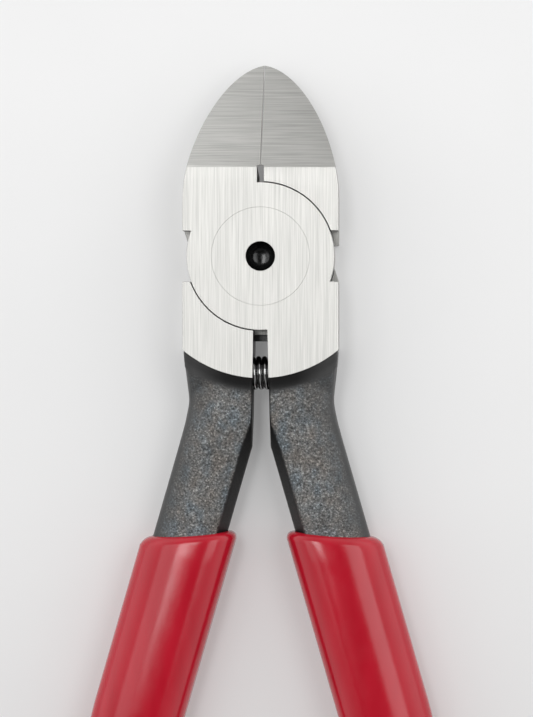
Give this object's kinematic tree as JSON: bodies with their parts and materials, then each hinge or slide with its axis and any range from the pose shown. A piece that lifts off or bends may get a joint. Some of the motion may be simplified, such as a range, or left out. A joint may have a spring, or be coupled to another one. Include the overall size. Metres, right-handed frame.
{
  "type": "gate cutter",
  "caption": "Lap-jointed flush nippers for trimming moulding gates, with a riveted pivot, a coil return spring and dipped vinyl grips.",
  "frame": {"origin": "on the pivot axis, at the rear face that the tool lies on", "axes": "+Z along the pivot toward the flush faces of the blades, +Y toward the blade tips, +X toward the right handle"},
  "size_m": [0.064, 0.15, 0.0104],
  "materials": {
    "forged_steel": "ground bright on the head and blades, rough black on the handles",
    "rivet_steel": "ground flush with the head, black in its punched centre",
    "spring_steel": "blackened and oiled",
    "red_vinyl": "glossy dipped vinyl"
  },
  "bodies": {
    "front_lever": {"front_half": "forged_steel", "pivot_rivet": "rivet_steel", "return_spring": "spring_steel", "right_grip": "red_vinyl"},
    "rear_lever": {"rear_half": "forged_steel", "left_grip": "red_vinyl"}
  },
  "joints": [
    {"name": "jaw_pivot", "type": "hinge", "parent": "front_lever", "child": "rear_lever", "pos_m": [0, 0, 0], "axis": [0, 0, -1], "range_deg": [0, 18], "stiffness_Nm_per_rad": 0.67, "springref_deg": 24.06, "deforming": ["return_spring"]}
  ]
}
